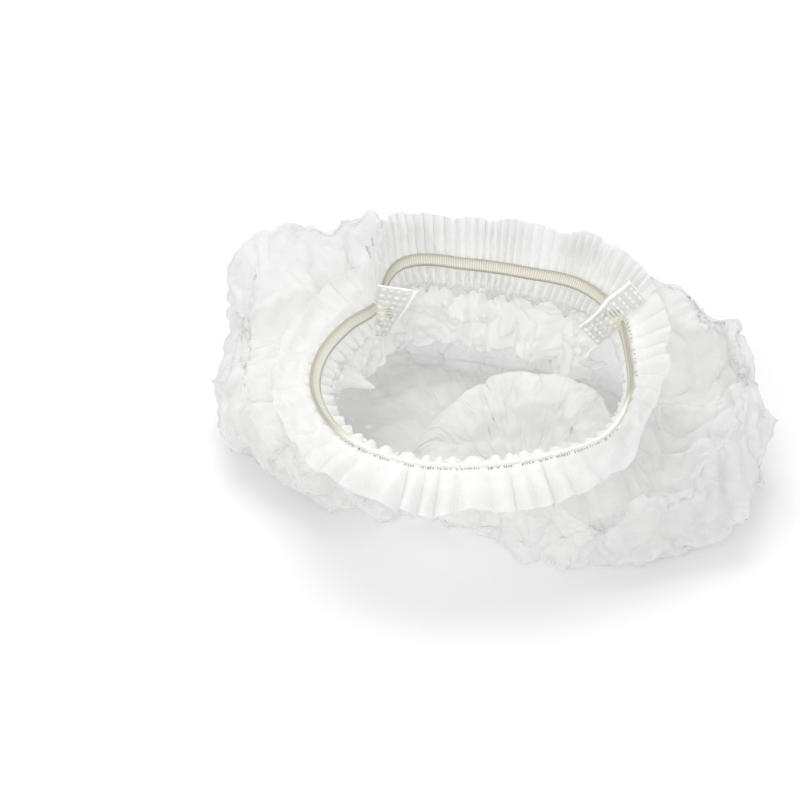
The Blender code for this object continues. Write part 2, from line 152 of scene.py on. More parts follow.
# The gathers of the bag below the lip: a fold's width, where the folds start and end down the
# wall, and their depth
Gather = namedtuple("Gather", "pitch begin finish depth seed")
GATHERS = [
    Gather(0.0058, -0.004, 0.016, 0.0016, 21),
    Gather(0.0115, 0.002, 0.036, 0.0022, 22),
    Gather(0.0230, 0.010, 0.075, 0.0026, 23),
    Gather(0.0460, 0.020, 0.120, 0.0030, 24),
]

# The depth of the bag's large crumples and of its fine wrinkles, and how far the folds' outward
# swell is taken back, so that the outline stays
BAG_CRUMPLE = 0.0032
BAG_WRINKLE = 0.0004
OUTWARD_BIAS = 0.0030

# The settling of the bag: spare length as a share, how firmly the gathered end and the rest are
# held in place, the ground's height, and the most that a point moves
SLACK = 0.12
HELD_LENGTH = 0.022
SLACK_HOLD = 0.08
FOOT_HOLD = 0.35
SETTLE_FRAMES = 22
SETTLE_GROUND = -0.0020
SETTLE_LIMIT = 0.006

# The pleats by angle: their depth as a share, how many layers lie on each other (1 dense, 0 one
# sheer layer), how crumpled the frill is, and its length as a share
PleatRow = namedtuple("PleatRow", "angle depth layers crumple length")
PLEATS = [
    PleatRow(0, 1.00, 0.95, 0.1, 0.85),
    PleatRow(20, 1.05, 1.00, 0.1, 0.95),
    PleatRow(40, 1.00, 0.80, 0.3, 1.00),
    PleatRow(70, 1.00, 0.65, 0.5, 1.00),
    PleatRow(100, 1.00, 0.65, 0.5, 1.00),
    PleatRow(134, 0.60, 0.70, 0.6, 1.00),
    PleatRow(160, 0.20, 0.52, 1.1, 0.85),
    PleatRow(190, 0.20, 0.48, 1.2, 0.80),
    PleatRow(215, 0.35, 0.55, 0.9, 0.85),
    PleatRow(236, 0.90, 0.90, 0.2, 1.00),
    PleatRow(270, 1.00, 1.00, 0.1, 1.00),
    PleatRow(292, 0.90, 0.90, 0.2, 1.00),
    PleatRow(306, 0.35, 0.35, 0.6, 0.85),
    PleatRow(326, 0.12, 0.08, 0.9, 0.50),
    PleatRow(342, 0.60, 0.45, 0.3, 0.60),
]

# Each band's pleats: pitch, depth at the frill's edge, depth at the lip, depth under the elastic
FRONT_BAND = dict(pitch=0.0078, frill_depth=0.0030, lip_depth=0.0020, under=0.0007, seed=100)
BACK_BAND = dict(pitch=0.0038, frill_depth=0.0034, lip_depth=0.0026, under=0.0013, seed=200)
# How much longer the cloth is on a pleat's crest, as a share, at the frill and at the lip
FRILL_STRETCH = 0.048
LIP_STRETCH = 0.16
# How deep the frill crumples and how far it sways
FRILL_CRUMPLE = 0.0034
FRILL_SWAY = 0.0010
# How much sheerer the frill is at its free edge, and how much sheerer and darker it is in its valleys,
# which paints shade into them, as shares
EDGE_SHEER = 0.70
VALLEY_SHEER_AND_SHADE = 0.30

# Where the bag's cloth lies in several layers: angle, width in degrees, how far below the lip it
# reaches in metres, and how dense it is
Layer = namedtuple("Layer", "angle width reach dense")
LAYERS = [
    Layer(160, 34, 0.075, 0.75),
    Layer(195, 22, 0.060, 0.55),
    Layer(128, 20, 0.050, 0.40),
    Layer(14, 17, 0.080, 0.80),
]

# How dense the bottom cloth is
FLOOR_DENSE = 0.45

# The cloth that hangs inside below the lip: from and to which angle, the height of its lower
# edge, how far it lies beyond the lip there, and the size of its scallops
Fold = namedtuple("Fold", "name start end low beyond scallop seed")
INNER_FOLDS = [
    Fold("inner_fold_back", 36, 142, 0.0095, 0.003, 0.0100, 71),
    Fold("inner_fold_left", 138, 212, 0.0150, 0.004, 0.0130, 72),
]
# Creases that run slanting down the inner cloth: angle at half height, how many degrees they
# slant, width in degrees and depth in metres
FoldLine = namedtuple("FoldLine", "angle slope width depth")
FOLD_LINES = [
    FoldLine(122, 16, 7, 0.0042),
    FoldLine(110, 15, 6, 0.0036),
    FoldLine(86, 4, 5, 0.0024),
    FoldLine(66, -10, 5, 0.0030),
    FoldLine(176, 8, 5, 0.0030),
]

# The inner folds' mesh spacing and rows, their scallops' depth, how their edge wanders, how far
# it rises at the ends, and the depths of their belly, flare, ripples and creases
FOLD_SPACING = 0.0006
FOLD_ROWS = 46
SCALLOP_DEPTH = 0.0042
FOLD_WANDER = 0.0022
FOLD_END_RISE = 0.018
FOLD_BELLY = 0.0045
FOLD_FLARE = 0.006
FOLD_RIPPLE = 0.0020
FOLD_CREASE = 0.0060

# The elastic's colours, the width of its face with the cords' swell, and the pitch of its ribs
TAPE_EDGE = (0.44, 0.425, 0.33)
TAPE_MIDDLE = (0.74, 0.715, 0.625)
TAPE_PALE = (0.90, 0.89, 0.82)
TAPE_FACE = 0.0068
TAPE_RIB = 0.0011
# How far the tape's back lies off the rim line, the ribs' height, and the face's profile: share
# of the width and height above the back
TAPE_LIFT = 0.0017
TAPE_RIB_HEIGHT = 0.00008
TAPE_PROFILE = [
    (0.02, 0.0000), (0.06, 0.0007), (0.16, 0.0009), (0.24, 0.0005), (0.30, 0.0004), (0.50, 0.00045),
    (0.70, 0.0004), (0.76, 0.0005), (0.84, 0.0009), (0.94, 0.0007), (0.98, 0.0000),
]

# The welded tabs: pressed cloth, the dashes of the weld, the swollen rim, and where the elastic
# has melted through, as shares of the tab's width and length
WELD_PRESSED = (0.66, 0.66, 0.645)
WELD_DASH = (0.88, 0.88, 0.865)
WELD_RIM = (0.93, 0.93, 0.915)
WELD_BURNT = (0.22, 0.19, 0.11)
WELD_YELLOW = (0.86, 0.84, 0.70)
Melted = namedtuple("Melted", "across out wide long dark")
MELTED = [
    Melted(-0.02, 0.52, 0.012, 0.16, 0.9),
    Melted(0.03, 0.48, 0.012, 0.15, 0.9),
    Melted(0.08, 0.44, 0.012, 0.13, 0.8),
    Melted(-0.10, 0.66, 0.035, 0.07, 0.5),
]

# Each tab: angle around the opening, lean and turn in degrees, how much longer one side is, shift
# along its width as a share, how far it sits below the rim, length, and seed
Seal = namedtuple("Seal", "name angle lean turn slant shift drop length seed")
SEALS = [
    Seal("seal_right", RIGHT_SEAL_ANGLE, 52, 0, 0.0, -0.02, 0.004, 0.0158, 5),
    Seal("seal_left", LEFT_SEAL_ANGLE, -10, -38, 0.40, -0.18, 0.0, 0.0130, 9),
]
# The weld's dashes: columns across a tab and rows along it
DASH_COLUMNS = 9.0
DASH_ROWS = 5.2

# Rows of thread ends: from and to which angle, their pitch, and seed. The front row is packed densely
# against the elastic's cord, so that it also paints the shadow line under the cord
STITCHES = [
    ("front_stitches_and_shadow", 226, 318, 0.0009, 301),
    ("right_stitches", 344, 374, 0.0026, 302),
]

# Rows of small pleats on the bag's shoulder: from and to which angle, where along the wall from
# the lip (0) to the foot (1), their spread there, their pitch in degrees and their depth
Rucks = namedtuple("Rucks", "start end along spread pitch depth")
RUCKS = [
    Rucks(-4, 30, 0.46, 0.10, 2.4, 0.0013),
    Rucks(140, 176, 0.48, 0.10, 4.2, 0.0010),
]

# The colours of the cloth, thin and in layers, and of the thread, which also paints the shadow line under
# the front elastic's cord
THIN_CLOTH, THICK_CLOTH = (0.85, 0.85, 0.85), (0.95, 0.95, 0.925)
# The inner folds' cloth is whiter than the rest: partly for its layers, partly painted light standing in
# for the bright, backlit inner wall
THIN_FOLDED_LIT, THICK_FOLDED_LIT = (0.95, 0.95, 0.95), (0.975, 0.975, 0.965)
THREAD_AND_SHADOW_COLOUR = (0.30, 0.28, 0.19)

# The floor, the camera, the surrounding light and the soft lights
FLOOR_HALF = 6.0
FLOOR_COLOUR = (0.78, 0.78, 0.785)
CAMERA_ELEVATION = 36
CAMERA_DISTANCE = 0.9
CAMERA_AIM = Vector((-0.031, -0.008, 0.046))
CAMERA_LENS = 93.15
SKY_COLOUR = (0.985, 0.99, 1.0)
SKY_STRENGTH = 0.89
LIGHT_AIM = (0, 0, 0.03)
Softbox = namedtuple("Softbox", "name place size power colour")
SOFTBOXES = [
    Softbox("softbox_top", (-0.18, 0.38, 1.35), 1.1, 8, (1.0, 0.997, 0.985)),
    Softbox("softbox_front", (-0.25, -1.2, 0.85), 0.9, 6.5, (1.0, 0.995, 0.98)),
]

# Fineness of the meshes
BAG_COLUMNS = 320
BAG_WALL_STEPS = [2, 9, 12, 10, 8, 7]
BAG_FLOOR_ROWS = 28
BAND_ROWS = 34
SAMPLES_PER_PLEAT = 12


def curve_between(p0, p1, p2, p3, part):
    """A point on a smooth curve through four points, between the middle two."""
    return 0.5 * (
        2 * p1
        + (p2 - p0) * part
        + (2 * p0 - 5 * p1 + 4 * p2 - p3) * part**2
        + (3 * p1 - p0 - 3 * p2 + p3) * part**3
    )


def periodic(rows, column, angles):
    """A smooth closed curve through one column of a table, read at the given angles."""
    knots = np.array([row.angle for row in rows], float)
    values = np.array([getattr(row, column) for row in rows], float)
    step = np.interp(np.mod(angles, 360), np.append(knots, knots[0] + 360), np.arange(len(rows) + 1))
    before = np.floor(step).astype(int) % len(rows)
    part = step - np.floor(step)
    p0, p1, p2, p3 = (values[(before + k) % len(rows)] for k in (-1, 0, 1, 2))
    return curve_between(p0, p1, p2, p3, part)


def ease(value):
    """A smooth step from 0 to 1."""
    value = np.clip(value, 0, 1)
    return value * value * (3 - 2 * value)


def noise(points, scale, seed, waves=14):
    """Smooth noise about as strong as a unit normal draw, with folds of the given size."""
    draw = np.random.default_rng(seed)
    ways = draw.normal(size=(waves, points.shape[-1]))
    ways /= np.linalg.norm(ways, axis=1, keepdims=True)
    tight = 2 * math.pi / scale * draw.uniform(0.6, 1.5, waves)
    start = draw.uniform(0, 2 * math.pi, waves)
    total = np.zeros(points.shape[:-1])
    for way, turn, phase in zip(ways, tight, start):
        total += np.sin(points @ way * turn + phase)
    return total / math.sqrt(waves / 2)


def creases(points, scale, seed, octaves=3):
    """Crumpled cloth: rounded hills between sharp creases, finer in each octave."""
    total = np.zeros(points.shape[:-1])
    for octave in range(octaves):
        total += np.abs(noise(points, scale * 0.52**octave, seed + octave)) * 0.5**octave
    return total - total.mean()


def hills(phase):
    """Rounded hills with sharp valleys between, one to each whole phase, from -1 to 1."""
    return 2 * np.abs(np.sin(math.pi * phase)) ** 0.85 - 1.15


def mean_reach():
    return (OPENING_WIDTH + OPENING_DEPTH) / 4


def opening_reach(angles):
    """The distance from the middle of the opening to its rim."""
    turn = np.radians(angles)
    ellipse = 1 / np.hypot(np.cos(turn) / (OPENING_WIDTH / 2), np.sin(turn) / (OPENING_DEPTH / 2))
    return ellipse * periodic(OPENING, "reach", angles)


def lean_way(lean):
    """The way up a leaning wall, as (reach, height) parts."""
    turn = np.radians(lean)
    return np.stack([np.sin(turn), np.cos(turn)], -1)


def inner_side(way):
    """The way from a wall to its inner side."""
    return np.stack([-way[..., 1], way[..., 0]], -1)


def to_space(angles, section):
    """Section points (reach, height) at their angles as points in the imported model's frame."""
    turn = np.radians(angles)
    while turn.ndim < section.ndim - 1:
        turn = turn[:, None]
    reach = section[..., 0]
    x = reach * np.cos(turn) + MIDDLE.x
    y = reach * np.sin(turn) + MIDDLE.y
    return np.stack([x, y, section[..., 1]], -1)


def to_space_way(angles, way):
    """A (reach, height) way at its angle as a direction in space."""
    return to_space(angles, way) - to_space(angles, np.zeros_like(way))


def rim_lines(angles):
    """The rim, and the ways up the frill, the elastic and the lip there."""
    rim = np.stack([opening_reach(angles), OPENING_HEIGHT * periodic(OPENING, "height", angles)], -1)
    leans = ("frill_lean", "elastic_lean", "lip_lean")
    return (rim, *(lean_way(periodic(OPENING, name, angles)) for name in leans))


def lip_line(angles):
    """The lower edge of the lip."""
    rim, _, elastic_way, lip_way = rim_lines(angles)
    return rim - elastic_way * ELASTIC_WIDTH - lip_way * (LIP_LENGTH - ELASTIC_WIDTH)


def seal_calm(angles, reach=0.010):
    """Falls from 1 to 0 close to an end seal, where the pleats are pressed together."""
    calm = np.ones_like(angles, dtype=float)
    for seal_angle in (RIGHT_SEAL_ANGLE, LEFT_SEAL_ANGLE):
        away = np.radians(np.abs(np.mod(angles - seal_angle + 180, 360) - 180)) * mean_reach()
        calm = np.minimum(calm, ease((away - 0.001) / reach))
    return calm


def grid_normals(grid, closed):
    """Unit normals of a grid of points, columns first; columns wrap around if closed."""
    if closed:
        across = np.roll(grid, -1, axis=0) - np.roll(grid, 1, axis=0)
    else:
        across = np.gradient(grid, axis=0)
    normals = np.cross(across, np.gradient(grid, axis=1))
    return normals / np.maximum(np.linalg.norm(normals, axis=-1, keepdims=True), 1e-12)


def grid_mesh(name, grid, closed, plug=False):
    """A smooth sheet through a grid of points, with its lengths in metres as its UV map."""
    columns, rows = grid.shape[:2]
    steps = columns if closed else columns - 1
    i, k = np.meshgrid(np.arange(steps), np.arange(rows - 1), indexing="ij")
    j = (i + 1) % columns
    quads = np.stack([i * rows + k, j * rows + k, j * rows + k + 1, i * rows + k + 1], -1)
    faces = quads.reshape(-1, 4).tolist()
    if plug:
        faces.append([c * rows + rows - 1 for c in range(columns)])
    mesh = bpy.data.meshes.new(name)
    mesh.from_pydata(grid.reshape(-1, 3).tolist(), [], faces)
    across = np.zeros((columns + 1, rows))
    step = np.linalg.norm(np.roll(grid, -1, axis=0) - grid, axis=-1)
    across[1:] = np.cumsum(np.repeat(step.mean(axis=1, keepdims=True), rows, axis=1), axis=0)
    along = np.zeros((columns, rows))
    along[:, 1:] = np.cumsum(np.linalg.norm(np.diff(grid, axis=1), axis=-1), axis=1)
    layer = mesh.uv_layers.new(name="cloth")
    corner_i = np.stack([i, i + 1, i + 1, i], -1).reshape(-1)
    corner_j = np.stack([i, j, j, i], -1).reshape(-1)
    corner_k = np.stack([k, k, k + 1, k + 1], -1).reshape(-1)
    uv = np.zeros((len(mesh.loops), 2))
    uv[: len(corner_i), 0] = across[corner_i, corner_k]
    uv[: len(corner_i), 1] = along[corner_j, corner_k]
    layer.data.foreach_set("uv", uv.reshape(-1))
    mesh.shade_smooth()
    mesh.update()
    piece = bpy.data.objects.new(name, mesh)
    bpy.context.collection.objects.link(piece)
    return piece


def mark_layers(piece, layers):
    """Keeps how dense the cloth is at each point, for its material."""
    marks = piece.data.attributes.new("layers", "FLOAT", "POINT")
    marks.data.foreach_set("value", np.clip(layers, 0, 1).reshape(-1).astype(np.float32))


def section_rows(knots, counts):
    """Rows along smooth curves through the knots, with a count of steps between each two."""
    rows = []
    last = len(knots) - 1
    for k, count in enumerate(counts):
        p0, p1, p2, p3 = (knots[min(max(n, 0), last)] for n in (k - 1, k, k + 1, k + 2))
        for step in range(count):
            rows.append(curve_between(p0, p1, p2, p3, step / count))
    rows.append(knots[-1])
    return np.stack(rows, axis=1)


def node(tree, kind, sockets=None, **values):
    """A new shader node with its values and its sockets' values."""
    made = tree.nodes.new(kind)
    for key, value in values.items():
        setattr(made, key, value)
    for key, value in (sockets or {}).items():
        made.inputs[key].default_value = value
    return made


def cloth_material(name, thin, thick, thin_clear, thick_clear, bump, glow):
    """Spunbond cloth: matt fibres that let light through, whiter where it lies in layers."""
    material = bpy.data.materials.new(name)
    material.use_nodes = True
    tree = material.node_tree
    tree.nodes.clear()
    link = tree.links.new
    place = node(tree, "ShaderNodeTexCoord")
    layers = node(tree, "ShaderNodeAttribute", attribute_name="layers")
    fibres = node(tree, "ShaderNodeMapping", {"Scale": (2600, 1500, 1)})
    link(place.outputs["UV"], fibres.inputs["Vector"])
    strands = node(tree, "ShaderNodeTexNoise", {"Scale": 1.0, "Detail": 2.0})
    link(fibres.outputs["Vector"], strands.inputs["Vector"])
    clouds = node(tree, "ShaderNodeTexNoise", {"Scale": 70.0, "Detail": 2.0})
    link(place.outputs["Object"], clouds.inputs["Vector"])
    bonds = node(tree, "ShaderNodeTexVoronoi", {"Scale": 900.0, "Randomness": 0.3})
    link(place.outputs["UV"], bonds.inputs["Vector"])
    dots = node(tree, "ShaderNodeMapRange", {"From Min": 0.20, "From Max": 0.36})
    link(bonds.outputs["Distance"], dots.inputs["Value"])
    blend = node(tree, "ShaderNodeMath", operation="ADD")
    link(strands.outputs["Fac"], blend.inputs[0])
    link(clouds.outputs["Fac"], blend.inputs[1])
    mottle = node(tree, "ShaderNodeMapRange", {
        "From Min": 0.75, "From Max": 1.25, "To Min": -0.05, "To Max": 0.05,
    })
    link(blend.outputs["Value"], mottle.inputs["Value"])
    clear = node(tree, "ShaderNodeMapRange", {"To Min": thin_clear, "To Max": thick_clear})
    link(layers.outputs["Fac"], clear.inputs["Value"])
    gaps = node(tree, "ShaderNodeMath", operation="ADD", use_clamp=True)
    link(clear.outputs["Result"], gaps.inputs[0])
    link(mottle.outputs["Result"], gaps.inputs[1])
    colour = node(tree, "ShaderNodeMix", {"A": (*thin, 1), "B": (*thick, 1)}, data_type="RGBA")
    link(layers.outputs["Fac"], colour.inputs["Factor"])
    height = node(tree, "ShaderNodeMath", {1: 0.6}, operation="MULTIPLY_ADD")
    link(dots.outputs["Result"], height.inputs[0])
    link(strands.outputs["Fac"], height.inputs[2])
    relief = node(tree, "ShaderNodeBump", {"Strength": bump, "Distance": 0.0001})
    link(height.outputs["Value"], relief.inputs["Height"])
    matt = node(tree, "ShaderNodeBsdfDiffuse")
    through = node(tree, "ShaderNodeBsdfTranslucent")
    sheen = node(tree, "ShaderNodeBsdfGlossy", {"Roughness": 0.45})
    gap = node(tree, "ShaderNodeBsdfTransparent")
    for shader in (matt, through):
        link(colour.outputs["Result"], shader.inputs["Color"])
    for shader in (matt, through, sheen):
        link(relief.outputs["Normal"], shader.inputs["Normal"])
    body = node(tree, "ShaderNodeMixShader", {"Fac": glow})
    link(matt.outputs["BSDF"], body.inputs[1])
    link(through.outputs["BSDF"], body.inputs[2])
    shiny = node(tree, "ShaderNodeMixShader", {"Fac": 0.03})
    link(body.outputs["Shader"], shiny.inputs[1])
    link(sheen.outputs["BSDF"], shiny.inputs[2])
    sheer = node(tree, "ShaderNodeMixShader")
    link(gaps.outputs["Value"], sheer.inputs["Fac"])
    link(shiny.outputs["Shader"], sheer.inputs[1])
    link(gap.outputs["BSDF"], sheer.inputs[2])
    out = node(tree, "ShaderNodeOutputMaterial")
    link(sheer.outputs["Shader"], out.inputs["Surface"])
    return material


def tape_material():
    """The elastic: dark olive edge cords, and a pale middle with fine ribs across it, with painted shade
    between the ribs and painted light on their tops.
    """
    material = bpy.data.materials.new("elastic_tape")
    material.use_nodes = True
    tree = material.node_tree
    link = tree.links.new
    shader = tree.nodes["Principled BSDF"]
    shader.inputs["Roughness"].default_value = 0.8
    place = node(tree, "ShaderNodeTexCoord")
    split = node(tree, "ShaderNodeSeparateXYZ")
    link(place.outputs["UV"], split.inputs["Vector"])
    across = node(tree, "ShaderNodeMapRange", {"From Max": TAPE_FACE})
    link(split.outputs["Y"], across.inputs["Value"])
    bands = node(tree, "ShaderNodeValToRGB")
    ramp = bands.color_ramp.elements
    ramp[0].position, ramp[0].color = 0.12, (*TAPE_EDGE, 1)
    ramp[1].position, ramp[1].color = 0.88, (*TAPE_EDGE, 1)
    for spot in (0.28, 0.72):
        made = ramp.new(spot)
        made.color = (*TAPE_MIDDLE, 1)
    link(across.outputs["Result"], bands.inputs["Fac"])
    turns = node(tree, "ShaderNodeMath", {1: 2 * math.pi / TAPE_RIB}, operation="MULTIPLY")
    link(split.outputs["X"], turns.inputs[0])
    ribs = node(tree, "ShaderNodeMath", operation="SINE")
    link(turns.outputs["Value"], ribs.inputs[0])
    # Painted shade and light on the ribs: the colour darkens in the grooves between them and lightens on
    # their tops
    painted_rib_shade = node(tree, "ShaderNodeMapRange", {"From Min": -1, "To Min": 0.80, "To Max": 1.05})
    link(ribs.outputs["Value"], painted_rib_shade.inputs["Value"])
    pale = node(tree, "ShaderNodeAttribute", attribute_name="layers")
    bleached = node(tree, "ShaderNodeMix", {"B": (*TAPE_PALE, 1)}, data_type="RGBA")
    link(pale.outputs["Fac"], bleached.inputs["Factor"])
    link(bands.outputs["Color"], bleached.inputs["A"])
    tint = node(tree, "ShaderNodeVectorMath", operation="SCALE")
    link(bleached.outputs["Result"], tint.inputs[0])
    link(painted_rib_shade.outputs["Result"], tint.inputs["Scale"])
    link(tint.outputs["Vector"], shader.inputs["Base Color"])
    relief = node(tree, "ShaderNodeBump", {"Strength": 0.5, "Distance": 0.0002})
    link(ribs.outputs["Value"], relief.inputs["Height"])
    link(relief.outputs["Normal"], shader.inputs["Normal"])
    return material


def weld_material():
    """Pressed and melted cloth, in the colours that its mesh holds."""
    material = bpy.data.materials.new("welded_cloth")
    material.use_nodes = True
    tree = material.node_tree
    shader = tree.nodes["Principled BSDF"]
    shader.inputs["Roughness"].default_value = 0.42
    tint = node(tree, "ShaderNodeAttribute", attribute_name="tint")
    tree.links.new(tint.outputs["Color"], shader.inputs["Base Color"])
    grain = node(tree, "ShaderNodeTexNoise", {"Scale": 1400.0})
    relief = node(tree, "ShaderNodeBump", {"Strength": 0.25, "Distance": 0.0001})
    tree.links.new(grain.outputs["Fac"], relief.inputs["Height"])
    tree.links.new(relief.outputs["Normal"], shader.inputs["Normal"])
    return material


def plain_material(name, colour, roughness):
    material = bpy.data.materials.new(name)
    material.use_nodes = True
    shader = material.node_tree.nodes["Principled BSDF"]
    shader.inputs["Base Color"].default_value = (*colour, 1)
    shader.inputs["Roughness"].default_value = roughness
    return material


def dress(piece, material, nodes):
    """Give a piece its material, its body and the nodes that it stands for."""
    piece.data.materials.append(material)
    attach(piece, "root")
    for name in nodes:
        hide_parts(name)


def make_band(name, start, end, pitch, frill_depth, lip_depth, under, seed):
    """A pleated band, from its frill's free edge past the elastic to its lip."""
    pleats = round(math.radians(end - start) * mean_reach() / pitch)
    angles = np.linspace(start, end, pleats * SAMPLES_PER_PLEAT + 1)
    rim, frill_way, elastic_way, lip_way = rim_lines(angles)
    turn = np.radians(angles)
    around = np.stack([np.cos(turn), np.sin(turn)], -1) * mean_reach()
    phase = np.arange(len(angles)) / SAMPLES_PER_PLEAT + 0.16 * noise(around, 0.04, seed)
    phase = phase + 0.07 * np.sin(2 * math.pi * phase)
    calm = seal_calm(angles)
    depth_share = periodic(PLEATS, "depth", angles)
    layer_share = periodic(PLEATS, "layers", angles)
    crumple = periodic(PLEATS, "crumple", angles)
    wave = hills(phase) * calm
    uneven = np.clip(1 + 0.25 * noise(around, 0.016, seed + 1), 0.4, 1.7) * depth_share
    longer = 1 + 0.05 * noise(around, 0.020, seed + 2) + 0.012 * noise(around, 0.007, seed + 6)
    longer += FRILL_STRETCH * wave * depth_share
    frill_length = FRILL_LENGTH * periodic(PLEATS, "length", angles)
    frill_side, elastic_side, lip_side = (inner_side(way) for way in (frill_way, elastic_way, lip_way))
    grid = []
    layers = []
    frill_rows = BAND_ROWS // 2
    for k in range(frill_rows):
        part = 1 - k / frill_rows
        length = frill_length * part * (1 + (longer - 1) * part**2)
        bend = frill_way * ease(part / 0.35)[..., None] + elastic_way * (1 - ease(part / 0.35))
        place = rim + bend * length[:, None]
        depth = frill_depth * ease(part / 0.9) + under
        spot = np.concatenate([around, np.full((len(around), 1), part * FRILL_LENGTH)], axis=1)
        sag = -FRILL_CRUMPLE * creases(spot, 0.036, seed + 3, 2) * crumple * part
        sag += FRILL_SWAY * noise(around, 0.045, seed + 4) * part
        place = place + frill_side * (wave * uneven * depth + sag * calm)[:, None]
        grid.append(place)
        # Sheerer and so darker in the pleats' valleys towards the free edge: painted shade in the valleys
        valley = 1 - VALLEY_SHEER_AND_SHADE * ease(-wave / 1.1) * part
        layers.append(layer_share * (1 - EDGE_SHEER * ease(part / 0.9)) * valley)
    tape_rows = BAND_ROWS // 5
    for k in range(tape_rows):
        place = rim - elastic_way * (ELASTIC_WIDTH * k / tape_rows)
        grid.append(place + elastic_side * (wave * under)[:, None])
        layers.append(np.maximum(layer_share, 0.75))
    low = rim - elastic_way * ELASTIC_WIDTH
    lip_rows = BAND_ROWS - frill_rows - tape_rows
    lip_longer = (1 + LIP_STRETCH * wave)[:, None]
    for k in range(lip_rows + 1):
        part = k / lip_rows
        length = (LIP_LENGTH - ELASTIC_WIDTH) * part
        place = low - lip_way * length * (1 + (lip_longer - 1) * part)
        place = place + lip_side * (wave * (under + lip_depth * ease(part)))[:, None]
        grid.append(place)
        layers.append(np.maximum(layer_share, 0.6) * (1 - 0.2 * part))
    band = grid_mesh(name, to_space(angles, np.stack(grid, axis=1)), closed=False)
    mark_layers(band, np.stack(layers, axis=1))
    return band


def make_inner_fold(fold):
    """Cloth that hangs inside from below the lip, in loose folds down to a scalloped edge."""
    columns = round(math.radians(fold.end - fold.start) * mean_reach() / FOLD_SPACING)
    angles = np.linspace(fold.start, fold.end, columns)
    lip = lip_line(angles)
    turn = np.radians(angles)
    around = np.stack([np.cos(turn), np.sin(turn)], -1) * mean_reach()
    phase = np.linspace(0, 1, columns) * round(columns * FOLD_SPACING / fold.scallop)
    phase = phase + 0.4 * noise(around, 0.03, fold.seed)
    fade = ease((angles - fold.start) / 9) * ease((fold.end - angles) / 9)
    low = fold.low + SCALLOP_DEPTH * (1 - np.abs(np.sin(math.pi * phase)))
    low = low + FOLD_WANDER * noise(around, 0.05, fold.seed + 1)
    low = low + (1 - fade) * FOLD_END_RISE
    grid = []
    for k in range(FOLD_ROWS + 1):
        part = k / FOLD_ROWS
        height = lip[:, 1] * (1 - part) + low * part + 0.002 * (1 - part)
        belly = FOLD_BELLY * math.sin(math.pi * part)
        flare = FOLD_FLARE * ease((part - 0.86) / 0.14)
        reach = lip[:, 0] + 0.0018 + fold.beyond * part + belly + flare
        spot = np.concatenate([around, height[:, None]], axis=1)
        ripple = FOLD_RIPPLE * hills(phase) * ease((part - 0.35) / 0.6)
        ripple = ripple + 0.0007 * hills(phase * 2.3) * (1 - part)
        drape = -FOLD_CREASE * creases(spot, 0.034, fold.seed + 2, 3) * ease(part / 0.25)
        for line in FOLD_LINES:
            away = angles - line.angle - line.slope * (part - 0.5)
            ridge = np.where(away > 0, np.exp(-away / line.width), np.exp(away / (line.width * 0.25)))
            drape = drape - line.depth * ridge * math.sin(math.pi * min(0.15 + part * 0.75, 1))
        grid.append(np.stack([reach + ripple + drape, height], -1))
    piece = grid_mesh(fold.name, to_space(angles, np.stack(grid, axis=1)), closed=False)
    share = np.linspace(0, 1, FOLD_ROWS + 1)[None, :]
    dense = 0.90 + 0.10 * ease((share - 0.85) / 0.1) + 0 * angles[:, None]
    mark_layers(piece, dense)
    return piece


def make_stitches(name, start, end, pitch, seed):
    """Short thread ends along the elastic's upper edge; packed densely, they also paint the shadow line
    along the elastic's cord.
    """
    draw = np.random.default_rng(seed)
    count = round(math.radians(end - start) * mean_reach() / pitch)
    angles = np.linspace(start, end, count) + draw.normal(0, 0.12, count)
    rim, frill_way, _, _ = rim_lines(angles)
    spots = to_space(angles, rim + frill_way * 0.0006 + inner_side(frill_way) * 0.0018)
    out_ways = to_space_way(angles, frill_way)
    side_ways = to_space_way(angles, inner_side(frill_way))
    mesh = bmesh.new()
    for spot, out, side in zip(spots, out_ways, side_ways):
        if draw.random() < 0.3:
            continue
        along = np.cross(out, side)
        skew = draw.uniform(-0.5, 0.5)
        reach = (out + along * skew) * draw.uniform(0.0002, 0.0006)
        wide = along * draw.uniform(0.00016, 0.00032)
        corners = []
        for length_share in (-1, 1):
            for width_share, lift in ((-1, 0), (0, 1), (1, 0), (0, -1)):
                place = spot + reach * length_share + wide * width_share + side * (0.00016 * lift)
                corners.append(mesh.verts.new(place.tolist()))
        for k in range(4):
            mesh.faces.new([corners[k], corners[(k + 1) % 4], corners[4 + (k + 1) % 4], corners[4 + k]])
        mesh.faces.new(corners[3::-1])
        mesh.faces.new(corners[4:])
    made = bpy.data.meshes.new(name)
    mesh.to_mesh(made)
    mesh.free()
    piece = bpy.data.objects.new(name, made)
    bpy.context.collection.objects.link(piece)
    return piece


def bag_knots(angles):
    """The bag's wall at each angle, from the lip to the foot, as (reach, height) points."""
    rim, _, _, lip_way = rim_lines(angles)
    reach = rim[:, 0]
    lip = lip_line(angles)
    turned = lip - lip_way * 0.0016
    turned[:, 1] -= 0.0016

    def spot(beyond, up):
        out = reach + BAG_BILLOW * periodic(BAG, beyond, angles)
        return np.stack([out, OPENING_HEIGHT * periodic(BAG, up, angles)], -1)

    valley = spot("valley", "valley_up")
    crest = spot("crest", "crest_up")
    belly = spot("belly", "belly_up")
    foot = np.stack([reach + BAG_BILLOW * periodic(BAG, "foot", angles), np.full_like(reach, 0.0006)], -1)
    tuck = np.stack([
        foot[:, 0] + (belly[:, 0] - foot[:, 0]) * 0.70,
        foot[:, 1] + (belly[:, 1] - foot[:, 1]) * 0.42,
    ], -1)
    return [lip, turned, valley, crest, belly, tuck, foot]


